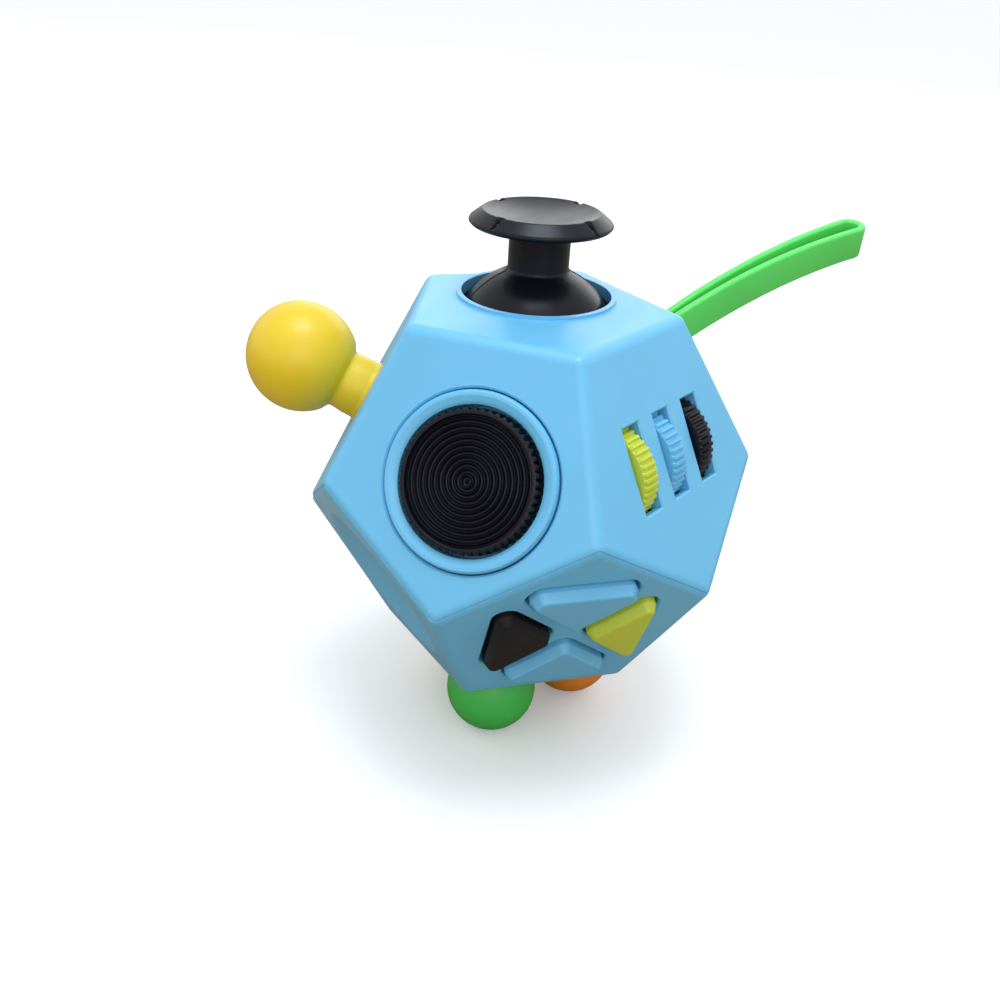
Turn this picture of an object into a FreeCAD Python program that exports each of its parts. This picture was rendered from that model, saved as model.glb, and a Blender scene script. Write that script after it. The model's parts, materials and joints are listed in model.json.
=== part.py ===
import FreeCAD, Part
import math
import os

# A twelve-sided fidget toy: a hollow dodecahedron in two half shells, with one thing to play with on
# each face. Millimetres, +Z up. The toy stands on three silicone ball feet, joystick up, and the
# origin is on the surface it stands on, under the middle of the body.
#
# Faces: T is the top, B the bottom, U0 to U4 the upper ring and L0 to L4 the lower ring. Each face has
# its own frame: x to the right and y up as seen from outside, z outward, with z = 0 on the face.

V = FreeCAD.Vector

# --- driving dimensions -----------------------------------------------------------------------------
EDGE = 23.2                # edge of the dodecahedron
WALL = 2.0                 # shell thickness
EDGE_ROUND = 1.9           # outside rounding of every edge
FOOT_REACH = 12.6          # how far the ball feet reach under the bottom face
SEAM_GROOVE = 0.16         # radius of the fine groove along the parting line
RUN_FIT = 0.05             # radial clearance of a shaft in its bearing
MOVE_GAP = 0.3             # clearance between other moving surfaces
SCREW_R = 0.9              # small self-tapping screw
SCREW_HEAD_R = 1.7
SCREW_HEAD_H = 1.1
SCREW_BITE = 6.0           # the most that a screw goes into its boss
OPENING_BEVEL = 0.22       # small bevel round every opening in the shell

INRADIUS = EDGE * 0.5 * math.sqrt(2.5 + 1.1 * math.sqrt(5.0))
FACE_CIRCUMRADIUS = EDGE / (2 * math.sin(math.radians(36)))
CENTRE_HEIGHT = INRADIUS + FOOT_REACH
INSIDE = -WALL             # z of the shell's inner surface in a face's frame
RING_TILT = math.degrees(math.atan(0.5))

# joystick, on T
STICK_AT = (-1.75, 4.5)    # off the middle of the top face
RECESS_R = 10.4
RECESS_LIP = 0.35
STICK_PIVOT = -7.5
DOME_R = 11.7
DOME_WALL = 1.4
DOME_SKIRT_DEG = 76.0
POST_R = 4.2
CAP_R = 9.75
CAP_DISH_R = 7.8
CAP_RIM_Z = 9.95
CAP_TOP_Z = 11.55
CAP_UNDER_DROP = 1.25      # from the rim down to the underside at the post
CAP_PEG_R = 2.2
CAP_PEG_L = 1.0
STICK_SCREWS = ((-60.0, 14.6), (-120.0, 14.6), (90.0, 14.6))

# dial, on U0
DIAL_AT = (0.9, -1.4)
DIAL_HOLE_R = 11.55
DIAL_BEZEL_R = 11.35
DIAL_WELL_R = 9.6
DIAL_R = 9.3
DIAL_TOOTH = 0.42
DIAL_TEETH = 54
DIAL_RIDGES = 10
DIAL_RIDGE_PITCH = 0.77
DIAL_TOP = 1.3
DIAL_SPINDLE_R = 2.0

# thumb wheels, on U1
WHEELS_AT = (0.4, 0.2)
WHEEL_PITCH = 6.85
WHEEL_R = 6.8
WHEEL_W = 3.0
WHEEL_RIBS = 44
WHEEL_RIB_H = 0.38
WHEEL_AXIS_Z = -5.55
SLOT_W = 3.6
SLOT_L = 11.4
AXLE_R = 1.0

# buttons, on L0
PAD_AT = (0.2, 0.2)
BUTTON_TOP = 1.7
BUTTON_TRAVEL = 1.2
BUTTON_BEVEL = 1.3         # height of the sloping rim, and how far it leans in
BUTTON_LEAN = 0.65
BUTTON_CORNER = 1.6
PLUNGER_R = 1.2

# ball stick, on U4
STALK_R = 4.3
BALL_R = 7.7
BALL_Z = 10.2
BEND_Z = 0.8

# feet, on B
FOOT_CIRCLE_R = 9.3
FOOT_R = 6.7
FOOT_NECK_R = 3.0
FOOT_AZIMUTHS = {"foot_green": -90.0, "foot_orange": 30.0, "foot_yellow": 150.0}

# wrist strap, on U2
STRAP_Y = 6.0
STRAP_W = 5.0
STRAP_T = 1.2
STRAP_OUT = 43.3           # straight distance from the face to the loop's tip
STRAP_DROOP_DEG = 10.0     # how far that line hangs below the face's normal
STRAP_PIN_R = 0.8
STRAP_PIN_Z = -4.0
STRAP_TIP_R = 1.8
STRAP_ROOT_T = 2.5         # the solid root, before the two strands part
STRAP_EYE_R = 1.75
STRAP_PART_Z = 1.6

# rocker switch, on U3
ROCKER_L = 12.4
ROCKER_W = 7.0
ROCKER_PIVOT_Z = -3.0

# slider, on L1
SLIDE_TRAVEL = 4.5
SLIDE_SLOT_W = 4.6

# roller ball, on L2
ROLLER_R = 6.5
ROLLER_Z = -3.4

# worry dish, on L4
DISH_R = 12.2
DISH_DEPTH = 2.6


# --- frames -----------------------------------------------------------------------------------------
def face_axes(name):
    """The right, up and outward directions of a face."""
    if name == "T":
        return V(1, 0, 0), V(0, 1, 0), V(0, 0, 1)
    if name == "B":
        return V(-1, 0, 0), V(0, 1, 0), V(0, 0, -1)
    upper = name[0] == "U"
    azimuth = math.radians((-90 if upper else -54) + 72 * int(name[1]))
    rise = math.radians(RING_TILT if upper else -RING_TILT)
    out = V(math.cos(rise) * math.cos(azimuth), math.cos(rise) * math.sin(azimuth), math.sin(rise))
    up = V(0, 0, 1) - out * out.z
    up.normalize()
    return up.cross(out), up, out


def placement(name, x=0.0, y=0.0):
    right, up, out = face_axes(name)
    origin = V(0, 0, CENTRE_HEIGHT) + out * INRADIUS + right * x + up * y
    return FreeCAD.Placement(origin, FreeCAD.Rotation(right, up, out, "ZXY"))


def put(shape, name, x=0.0, y=0.0):
    """A copy of a shape built in a face's frame, moved to that face."""
    placed = shape.copy()
    placed.Placement = placement(name, x, y).multiply(placed.Placement)
    return placed


# --- simple solids ----------------------------------------------------------------------------------
def cyl(radius, z0, z1, x=0.0, y=0.0):
    return Part.makeCylinder(radius, z1 - z0, V(x, y, z0))


def rod(radius, start, end):
    """A cylinder from one point to another."""
    axis = end - start
    return Part.makeCylinder(radius, axis.Length, start, axis)


def tube(outer, inner, z0, z1):
    return cyl(outer, z0, z1).cut(cyl(inner, z0, z1))


def box(width, height, z0, z1, x=0.0, y=0.0):
    return Part.makeBox(width, height, z1 - z0, V(x - width / 2, y - height / 2, z0))


def rounded_box(width, height, z0, z1, radius):
    block = box(width, height, z0, z1)
    upright = [e for e in block.Edges if abs(e.tangentAt(e.FirstParameter).z) > 0.9]
    return block.makeFillet(radius, upright)


def ball(radius, z=0.0):
    return Part.makeSphere(radius, V(0, 0, z))


def polygon(points, z=0.0):
    corners = [V(x, y, z) for x, y in points]
    return Part.makePolygon(corners + corners[:1])


def turned(profile):
    """A closed profile of (radius, z) points turned about the z axis."""
    corners = [V(r, 0, z) for r, z in profile]
    face = Part.Face(Part.makePolygon(corners + corners[:1]))
    return face.revolve(V(0, 0, 0), V(0, 0, 1), 360)


def prism(points, z0, z1):
    return Part.Face(polygon(points, z0)).extrude(V(0, 0, z1 - z0))


def fused(shapes):
    result = shapes[0]
    if len(shapes) > 1:
        result = shapes[0].fuse(list(shapes[1:]))
    return result.removeSplitter()


def screw(x, y, head_z, length, r=SCREW_R):
    """A pan-head screw driven outward, its head under head_z, with a cross recess."""
    z0 = head_z - SCREW_HEAD_H
    head = cyl(SCREW_HEAD_R, z0, head_z, x, y)
    head = head.makeFillet(0.35, [edge for edge in head.Edges if edge.BoundBox.ZMax < z0 + 0.01])
    depth = SCREW_HEAD_H * 0.55
    for width, height in ((2.0, 0.5), (0.5, 2.0)):
        head = head.cut(box(width, height, z0 - 0.1, z0 + depth, x, y))
    return head.fuse(cyl(r, head_z, head_z + length, x, y))


# --- the two half shells ----------------------------------------------------------------------------
FACE_NAMES = ["T"] + [f"U{i}" for i in range(5)] + [f"L{i}" for i in range(5)] + ["B"]


def pentagon(name, scale):
    """A face's corners, with the whole body scaled about its middle."""
    right, up, out = face_axes(name)
    first = 90 if name[0] in "TL" else -90
    centre = V(0, 0, CENTRE_HEIGHT) + out * INRADIUS * scale
    radius = FACE_CIRCUMRADIUS * scale
    angles = [math.radians(first + 72 * i) for i in range(5)]
    return [centre + right * radius * math.cos(a) + up * radius * math.sin(a) for a in angles]


def solid_from(faces):
    shell = Part.makeShell(faces)
    shell.sewShape()
    solid = Part.makeSolid(shell)
    if solid.Volume < 0:
        solid.reverse()
    return solid


def flat(corners):
    return Part.Face(Part.makePolygon(corners + corners[:1]))


def dodecahedron(inradius):
    return solid_from([flat(pentagon(name, inradius / INRADIUS)) for name in FACE_NAMES])


def parting_corners(scale):
    """The ten corners of the zigzag round the body's middle, where the two shells meet."""
    corners = []
    for i in range(5):
        corners.append(pentagon(f"U{i}", scale)[0])
        corners.append(pentagon(f"L{i}", scale)[0])
    return corners


def half_space(names, scale=1.3):
    """All that lies over the given faces, as seen from the middle of the body."""
    ring = parting_corners(scale)
    middle = V(0, 0, CENTRE_HEIGHT)
    sides = [flat([middle, ring[i], ring[(i + 1) % 10]]) for i in range(10)]
    return solid_from([flat(pentagon(name, scale)) for name in names] + sides)


def seam_groove():
    """A fine round groove that follows the zigzag, on the rounded edge's own ridge."""
    half_turn = math.radians(180 - 116.565) / 2
    middle_radius = EDGE * 1.309017
    scale = (middle_radius - EDGE_ROUND * (1 / math.cos(half_turn) - 1)) / middle_radius
    ring = parting_corners(scale)
    runs = [rod(SEAM_GROOVE, ring[i], ring[(i + 1) % 10]) for i in range(10)]
    return runs + [Part.makeSphere(SEAM_GROOVE, corner) for corner in ring]


PIN_AZIMUTHS = (-18, 54, 126, 198)
PIN_CIRCLE_R = 25.2
PIN_BOSS_R = 2.2
PIN_R = 1.2
PIN_MEET_Z = -4.8          # where a pin crosses the parting line, from the middle of the body


def locating_bosses(outer, over, under):
    """The pins under the upper shell, and the sockets in the lower one that they plug into."""
    upper, lower = [], []
    meet = CENTRE_HEIGHT + PIN_MEET_Z
    for azimuth in PIN_AZIMUTHS:
        x, y = polar(azimuth, PIN_CIRCLE_R)
        post = cyl(PIN_BOSS_R, meet - 14, meet + 6.3, x, y).common(outer)
        upper.append(post.common(over).fuse(cyl(PIN_R, meet - 4, meet + 1, x, y)))
        lower.append(post.common(under).cut(cyl(PIN_R, meet - 5, meet + 2, x, y)))
    return upper, lower


def boss(name, x, y, depth, outer, at=(0.0, 0.0), radius=1.9):
    """A screw boss from the inside of a face down to a depth, with its pilot hole."""
    post = put(cyl(radius, -depth, -0.6, x, y), name, *at).common(outer)
    hole_end = min(SCREW_BITE - depth, -0.9)
    hole = put(cyl(SCREW_R, -depth, hole_end, x, y), name, *at)
    return post, hole


def polar(angle, radius):
    return radius * math.cos(math.radians(angle)), radius * math.sin(math.radians(angle))


def oblong(width, height):
    x, y = width / 2, height / 2
    return [(-x, -y), (x, -y), (x, y), (-x, y)]


def bevelled(outline, name, x=0.0, y=0.0, corner=0.0):
    """The cutter for the bevel round an opening of this outline in a face."""
    above = 0.05
    wider = moved_out(outline, OPENING_BEVEL + above)
    if corner > 0:
        low = rounded_wire(outline, -OPENING_BEVEL, corner)
        high = rounded_wire(wider, above, corner + OPENING_BEVEL + above)
    else:
        low, high = polygon(outline, -OPENING_BEVEL), polygon(wider, above)
    return put(Part.makeLoft([low, high], True, True), name, x, y)


def dome_sweep():
    """The space that the joystick's dome turns in."""
    return put(ball(DOME_R + MOVE_GAP + 0.1, STICK_PIVOT), "T", *STICK_AT)


def make_shells():
    outer = dodecahedron(INRADIUS)
    outer = outer.makeFillet(EDGE_ROUND, outer.Edges)
    body = outer.cut(dodecahedron(INRADIUS - WALL))
    over = half_space(["T"] + [f"U{i}" for i in range(5)])
    under = half_space(["B"] + [f"L{i}" for i in range(5)])
    upper, lower = body.common(over), body.common(under)

    pins, sockets = locating_bosses(outer, over, under)
    posts, holes = {"up": list(pins), "low": list(sockets)}, {"up": [], "low": []}

    def add_boss(half, *args, **kwargs):
        post, hole = boss(*args, outer=outer, **kwargs)
        posts[half].append(post)
        holes[half].append(hole)

    for angle, radius in STICK_SCREWS:
        x, y = polar(angle, radius)
        add_boss("up", "T", x, y, -STICK_PIVOT + SOCKET_PLATE_Z, at=STICK_AT)
    for x in (-WHEEL_TAB_X, WHEEL_TAB_X):
        add_boss("up", "U1", x, WHEEL_TAB_Y, WHEEL_TAB_Z, at=WHEELS_AT)
    for x in (-RETAINER_X, RETAINER_X):
        add_boss("up", "U4", x, 0, RETAINER_Z)
    for angle in CARRIER_ANGLES:
        x, y = polar(angle, CARRIER_SCREW_R)
        add_boss("low", "L0", x, y, CARRIER_Z)
    for y in (-TRACK_Y, TRACK_Y):
        add_boss("low", "L1", 0, y, TRACK_Z)
    add_boss("low", "B", 0, 0, FOOT_PLATE_Z, radius=2.6)

    # recess, its raised lip and the relief that the joystick's dome turns in
    lip = put(tube(RECESS_R + 0.7, RECESS_R, -0.5, RECESS_LIP), "T", *STICK_AT)
    posts["up"].append(lip)
    holes["up"] += [dome_sweep(), put(cyl(RECESS_R, -8, 1), "T", *STICK_AT)]

    holes["up"].append(put(turned([(0, -6), (DIAL_HOLE_R, -6), (DIAL_HOLE_R, -0.25),
                                   (DIAL_HOLE_R + 0.3, 0.05), (0, 0.05)]), "U0", *DIAL_AT))
    for i in (-1, 0, 1):
        x0 = i * WHEEL_PITCH - SLOT_W / 2
        relief = rod(WHEEL_R + MOVE_GAP, V(x0, 0, WHEEL_AXIS_Z), V(x0 + SLOT_W, 0, WHEEL_AXIS_Z))
        holes["up"] += [put(box(SLOT_W, SLOT_L, -6, 1, i * WHEEL_PITCH), "U1", *WHEELS_AT),
                        put(relief, "U1", *WHEELS_AT)]
        slot_x = WHEELS_AT[0] + i * WHEEL_PITCH
        holes["up"].append(bevelled(oblong(SLOT_W, SLOT_L), "U1", slot_x, WHEELS_AT[1]))
    strap_slot = (2 * STRAP_SLOT_X, STRAP_W + 1.0)
    holes["up"].append(put(rounded_box(*strap_slot, -3, 1, STRAP_SLOT_CORNER), "U2", 0, STRAP_Y))
    holes["up"].append(bevelled(oblong(*strap_slot), "U2", 0, STRAP_Y, STRAP_SLOT_CORNER))
    posts["up"] += [put(lug, "U2", 0, STRAP_Y).common(outer) for lug in strap_lugs()]
    holes["up"].append(put(rounded_box(ROCKER_FRAME_W, ROCKER_FRAME_L, -4, 1, 1.2), "U3"))
    holes["up"].append(put(cyl(STALK_R + 0.6, -4, 1), "U4"))

    for outline in button_outlines():
        holes["low"].append(put(grown(outline, 0.25, -4, 1), "L0", *PAD_AT))
        holes["low"].append(bevelled(moved_out(outline, 0.25), "L0", *PAD_AT, corner=BUTTON_CORNER + 0.25))
    slide_slot = (SLIDE_SLOT_W, 2 * SLIDE_TRAVEL + 5.4)
    slide_corner = SLIDE_SLOT_W / 2 - 0.01
    holes["low"].append(put(rounded_box(*slide_slot, -4, 1, slide_corner), "L1"))
    holes["low"].append(bevelled(oblong(*slide_slot), "L1", corner=slide_corner))
    holes["low"].append(put(cyl(ROLLER_HOLE_R, -4, 1), "L2"))
    dish_sphere = (DISH_R ** 2 + DISH_DEPTH ** 2) / (2 * DISH_DEPTH)
    bowl = ball(dish_sphere + WALL, dish_sphere - DISH_DEPTH)
    bowl = bowl.common(cyl(DISH_R + 1.0, -DISH_DEPTH - WALL - 1, -1))
    posts["low"].append(put(bowl, "L4"))
    holes["low"].append(put(ball(dish_sphere, dish_sphere - DISH_DEPTH), "L4"))
    for azimuth in FOOT_AZIMUTHS.values():
        x, y = foot_place(azimuth)
        holes["low"].append(put(cyl(FOOT_NECK_R, -3, 1, x, y), "B"))

    nodes = {}
    for name, shell, half in (("upper_shell", upper, "up"), ("lower_shell", lower, "low")):
        shell = shell.fuse(posts[half]).cut(holes[half]).cut(seam_groove()).removeSplitter()
        nodes[name] = max(shell.Solids, key=lambda solid: solid.Volume)
    return nodes


# --- joystick ---------------------------------------------------------------------------------------
SOCKET_PLATE_Z = 6.8       # below the pivot
SOCKET_PLATE_T = 1.3
EAR_X = 7.9
RING_R = 5.6
RING_HOLE_R = 3.9
TRUNNION_R = 0.8
STICK_FOOT_R = 2.9


def joystick_dome():
    """The domed skirt with the post on top and the stem inside, about the pivot at z = 0."""
    skirt = ball(DOME_R).cut(ball(DOME_R - DOME_WALL))
    skirt = skirt.cut(cyl(2 * DOME_R, -2 * DOME_R, DOME_R * math.cos(math.radians(DOME_SKIRT_DEG))))
    post_top = CAP_RIM_Z - STICK_PIVOT - CAP_UNDER_DROP
    dome_top = math.sqrt(DOME_R ** 2 - POST_R ** 2)
    post = turned([(0, DOME_R - DOME_WALL), (POST_R, DOME_R - DOME_WALL - 0.6),
                   (POST_R + 0.9, dome_top - 0.5), (POST_R + 0.2, dome_top + 0.2),
                   (POST_R, dome_top + 0.6), (POST_R, post_top), (0, post_top)])
    stub = cyl(CAP_PEG_R, post_top, post_top + CAP_PEG_L)
    stem = cyl(2.4, 0, DOME_R - DOME_WALL + 0.2)
    foot = ball(STICK_FOOT_R).cut(cyl(2 * STICK_FOOT_R, 1.6, 9))
    # a collar under the roof carries the skirt on the stem
    collar = Part.makeCone(6.5, 2.4, 3.2, V(0, 0, DOME_R - DOME_WALL - 0.9), V(0, 0, -1))
    collar = collar.common(ball(DOME_R - 0.2))
    piece = fused([skirt, post, stub, stem, foot, collar])
    return piece.cut(rod(TRUNNION_R, V(0, -9, 0), V(0, 9, 0)))


def joystick_cap():
    """The mushroom cap: a dished top, a bevelled rim with four notches and a conical underside."""
    rim, top = CAP_RIM_Z, CAP_TOP_Z
    under = rim - CAP_UNDER_DROP
    profile = [(0, under), (POST_R, under), (5.9, under + 0.2), (CAP_R - 0.35, rim - 0.35), (CAP_R, rim),
               (CAP_R - 0.15, rim + 0.25), (CAP_DISH_R + 0.25, top - 0.05), (CAP_DISH_R - 0.1, top)]
    steps = 6
    sphere_r = (CAP_DISH_R ** 2 + 1.0) / 2
    for i in range(1, steps):
        r = (CAP_DISH_R - 0.5) * (1 - i / steps)
        drop = math.sqrt(sphere_r ** 2 - r ** 2) - math.sqrt(sphere_r ** 2 - CAP_DISH_R ** 2)
        profile.append((r, top - drop))
    profile.append((0, top - 1.0))
    cap = turned(profile)
    for i in range(4):
        notch = box(2.6, 0.9, -0.55, 0.9)
        notch.rotate(V(0, 0, 0), V(0, 1, 0), 38)
        notch.translate(V(CAP_DISH_R + 0.65, 0, rim + 1.15))
        notch.rotate(V(0, 0, 0), V(0, 0, 1), -22 + 90 * i)
        cap = cap.cut(notch)
    return cap.cut(cyl(CAP_PEG_R, under, under + CAP_PEG_L))


def joystick_socket():
    """The plate with two ears that carries the gimbal, about the pivot at z = 0."""
    plate_z = -SOCKET_PLATE_Z
    plate = [cyl(9.0, plate_z - SOCKET_PLATE_T, plate_z)]
    for angle, radius in STICK_SCREWS:
        x, y = polar(angle, radius)
        arm = box(radius, 4.4, plate_z - SOCKET_PLATE_T, plate_z, radius / 2)
        arm.rotate(V(0, 0, 0), V(0, 0, 1), angle)
        plate += [arm, cyl(2.6, plate_z - SOCKET_PLATE_T, plate_z, x, y)]
    for side in (-1, 1):
        plate.append(box(1.6, 4.6, plate_z - 0.2, 0, side * EAR_X))
        plate.append(rod(2.3, V(side * EAR_X - 0.8, 0, 0), V(side * EAR_X + 0.8, 0, 0)))
    piece = fused(plate)
    piece = piece.cut(rod(TRUNNION_R + RUN_FIT, V(-12, 0, 0), V(12, 0, 0)))
    for angle, radius in STICK_SCREWS:
        x, y = polar(angle, radius)
        piece = piece.cut(cyl(SCREW_R, -12, 0, x, y))
    return piece


def gimbal_ring():
    ring = tube(RING_R, RING_HOLE_R, -1.7, 1.7)
    ring = ring.cut(rod(TRUNNION_R, V(-9, 0, 0), V(9, 0, 0)))
    return ring.cut(rod(TRUNNION_R + RUN_FIT, V(0, -9, 0), V(0, 9, 0)))


def gimbal_pins():
    pins = [rod(TRUNNION_R, V(s * (RING_HOLE_R + 0.2), 0, 0), V(s * (EAR_X + 0.8), 0, 0)) for s in (-1, 1)]
    return Part.makeCompound(pins)


def coil_spring(radius, wire_r, z0, z1, turns):
    """A compression spring: one wire along a chain of quarter-turn arcs."""
    rise = (z1 - z0 - 2 * wire_r) / turns

    def on_coil(quarter):
        x, y = polar(90.0 * quarter, radius)
        return V(x, y, z0 + wire_r + rise * quarter / 4)

    arcs = [Part.Arc(on_coil(i), on_coil(i + 0.5), on_coil(i + 1)).toShape() for i in range(4 * turns)]
    slope = V(0, 2 * math.pi * radius, rise)
    section = Part.Wire(Part.Circle(on_coil(0), slope, wire_r).toShape())
    return Part.Wire(arcs).makePipeShell([section], True, False)


def spring_cup():
    """The cup that the spring holds up against the stick's round foot."""
    top = -STICK_FOOT_R - 0.1 + 0.9
    cup = cyl(3.0, top - 1.6, top)
    return cup.cut(ball(STICK_FOOT_R + MOVE_GAP)).cut(cyl(9, top - 0.7, top + 1))


def make_joystick():
    x, y = STICK_AT
    screws = []
    for angle, radius in STICK_SCREWS:
        sx, sy = polar(angle, radius)
        screws.append(screw(sx, sy, -SOCKET_PLATE_Z - SOCKET_PLATE_T, SOCKET_PLATE_T + 5))
    about_pivot = {
        "joystick_dome": joystick_dome(),
        "joystick_socket": joystick_socket(),
        "gimbal_ring": gimbal_ring(),
        "gimbal_pins": gimbal_pins(),
        "joystick_pin": rod(TRUNNION_R, V(0, -RING_R, 0), V(0, RING_R, 0)),
        "joystick_spring_cup": spring_cup(),
        "joystick_spring": coil_spring(2.1, 0.22, -SOCKET_PLATE_Z, -3.65, 3),
        "socket_screws": Part.makeCompound(screws),
    }
    nodes = {}
    for name, shape in about_pivot.items():
        shape.translate(V(0, 0, STICK_PIVOT))
        nodes[name] = put(shape, "T", x, y)
    nodes["joystick_cap"] = put(joystick_cap(), "T", x, y)
    return nodes


# --- dial -------------------------------------------------------------------------------------------
def dial_bezel():
    """The cup that the dial turns in: a raised lip, a sloping wall and a floor with the bearing."""
    lip, well, spindle = DIAL_BEZEL_R, DIAL_WELL_R, DIAL_SPINDLE_R + RUN_FIT
    return turned([(spindle, -3.6), (lip + 0.8, -3.6), (lip + 0.8, INSIDE), (lip, INSIDE), (lip, -0.2),
                   (lip - 0.2, 0.25), (lip - 0.55, 0.4), (lip - 0.85, 0.3), (well + 0.15, -0.55),
                   (well, -0.8), (well, -2.4), (spindle, -2.4)])


def dial_knob():
    """A knob with a saw-tooth edge, rings of fine ridges and a nib in the middle."""
    profile = [(0, -2.1), (DIAL_R, -2.1), (DIAL_R, DIAL_TOP - 0.35), (DIAL_R - 0.35, DIAL_TOP)]
    pitch = DIAL_RIDGE_PITCH
    for i in range(DIAL_RIDGES, -1, -1):
        r = (i + 0.5) * pitch
        profile += [(r + 0.34 * pitch, DIAL_TOP), (r + 0.14 * pitch, DIAL_TOP - 0.32),
                    (r - 0.14 * pitch, DIAL_TOP - 0.32), (r - 0.34 * pitch, DIAL_TOP)]
    profile.append((0, DIAL_TOP + 0.05))
    body = turned(profile)
    edge = []
    for i in range(DIAL_TEETH):
        step = 360.0 / DIAL_TEETH
        edge.append(polar(i * step, DIAL_R))
        edge.append(polar((i + 0.56) * step, DIAL_R - DIAL_TOOTH))
    body = body.common(prism(edge, -3, 3))
    return body.cut(cyl(DIAL_SPINDLE_R, -3, 0.3))


def make_dial():
    spindle = cyl(DIAL_SPINDLE_R, -3.75, 0.3).cut(cyl(0.8, -3.75, -1.0))
    parts = {
        "dial_bezel": dial_bezel(),
        "dial_knob": dial_knob(),
        "dial_spindle": spindle,
        "dial_washer": tube(3.8, 0.8, -4.35, -3.75),
        "dial_screw": screw(0, 0, -4.35, 3.2, 0.8),
    }
    return {name: put(shape, "U0", *DIAL_AT) for name, shape in parts.items()}


# --- thumb wheels -----------------------------------------------------------------------------------
WHEEL_TAB_X = 13.2
WHEEL_TAB_Y = -1.0
WHEEL_TAB_Z = 9.0
EAR_SPANS = ((-10.6, -9.0), (-4.15, -2.7), (2.7, 4.15), (9.0, 10.6))


def thumb_wheel():
    """A ribbed wheel whose axis runs along x."""
    root = WHEEL_R - WHEEL_RIB_H
    outline = []
    step = 360.0 / WHEEL_RIBS
    for i in range(WHEEL_RIBS):
        outline += [polar((i - 0.36) * step, root), polar((i - 0.20) * step, WHEEL_R),
                    polar((i + 0.20) * step, WHEEL_R), polar((i + 0.36) * step, root)]
    wheel = prism(outline, -WHEEL_W / 2, WHEEL_W / 2)
    side = WHEEL_W / 2
    bevel = turned([(0, -side), (root, -side), (WHEEL_R + 0.1, -side + 0.35), (WHEEL_R + 0.1, side - 0.35),
                    (root, side), (0, side)])
    wheel = wheel.common(bevel).cut(cyl(AXLE_R + RUN_FIT, -4, 4))
    wheel.rotate(V(0, 0, 0), V(0, 1, 0), 90)
    wheel.translate(V(0, 0, WHEEL_AXIS_Z))
    return wheel


def wheel_bracket():
    plate = [box(21.2, 6.0, -14.3, -13.1)]
    for x0, x1 in EAR_SPANS:
        middle = (x0 + x1) / 2
        plate.append(box(x1 - x0, 6.0, -13.3, WHEEL_AXIS_Z, middle))
        plate.append(rod(2.6, V(x0, 0, WHEEL_AXIS_Z), V(x1, 0, WHEEL_AXIS_Z)))
    for side in (-1, 1):
        tab_z = -WHEEL_TAB_Z
        plate.append(box(4.2, 4.4, tab_z - 1.3, tab_z, side * 12.0, WHEEL_TAB_Y))
        plate.append(cyl(2.2, tab_z - 1.3, tab_z, side * WHEEL_TAB_X, WHEEL_TAB_Y))
    piece = fused(plate).cut(rod(AXLE_R, V(-12, 0, WHEEL_AXIS_Z), V(12, 0, WHEEL_AXIS_Z)))
    for side in (-1, 1):
        piece = piece.cut(cyl(SCREW_R, -12, -8, side * WHEEL_TAB_X, WHEEL_TAB_Y))
    return piece


def make_wheels():
    head_z = -WHEEL_TAB_Z - 1.3
    screws = [screw(side * WHEEL_TAB_X, WHEEL_TAB_Y, head_z, 6.3) for side in (-1, 1)]
    parts = {
        "wheel_bracket": wheel_bracket(),
        "wheel_axle": rod(AXLE_R, V(-11.2, 0, WHEEL_AXIS_Z), V(11.2, 0, WHEEL_AXIS_Z)),
        "bracket_screws": Part.makeCompound(screws),
    }
    for i, name in ((-1, "thumb_wheel_green"), (0, "thumb_wheel_blue"), (1, "thumb_wheel_black")):
        wheel = thumb_wheel()
        wheel.translate(V(i * WHEEL_PITCH, 0, 0))
        parts[name] = wheel
    return {name: put(shape, "U1", *WHEELS_AT) for name, shape in parts.items()}


# --- buttons ----------------------------------------------------------------------------------------
CARRIER_ANGLES = (234.0, 306.0)
CARRIER_SCREW_R = 16.0
CARRIER_Z = 7.0
BUTTON_NAMES = ("button_top", "button_left", "button_bottom", "button_right")
BUTTON_CENTRE_R = 8.0


def button_outlines():
    """The four keys' corner points round a cross, each with its apex towards the middle."""
    tall = [(0, 1.7), (7.7, 9.4), (6.3, 12.0), (-6.3, 12.0), (-7.7, 9.4)]
    wide = [(0, 1.7), (9.3, 11.0), (-9.3, 11.0)]
    outlines = []
    for i, points in enumerate((tall, wide, tall, wide)):
        turn = math.radians(90 * i)
        c, s = math.cos(turn), math.sin(turn)
        outlines.append([(c * x - s * y, s * x + c * y) for x, y in points])
    return outlines


def rounded_wire(points, z, radius):
    """A closed outline with every corner rounded by an arc."""
    edges, ends = [], []
    count = len(points)
    for i in range(count):
        p = V(points[i][0], points[i][1], z)
        before = V(points[i - 1][0], points[i - 1][1], z) - p
        after = V(points[(i + 1) % count][0], points[(i + 1) % count][1], z) - p
        before.normalize()
        after.normalize()
        half = before.getAngle(after) / 2
        back = radius / math.tan(half)
        inward = before + after
        inward.normalize()
        middle = p + inward * (radius / math.sin(half) - radius)
        ends.append((p + before * back, middle, p + after * back))
    for i in range(count):
        start, middle, end = ends[i]
        edges.append(Part.Arc(start, middle, end).toShape())
        edges.append(Part.LineSegment(end, ends[(i + 1) % count][0]).toShape())
    return Part.Wire(edges)


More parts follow.
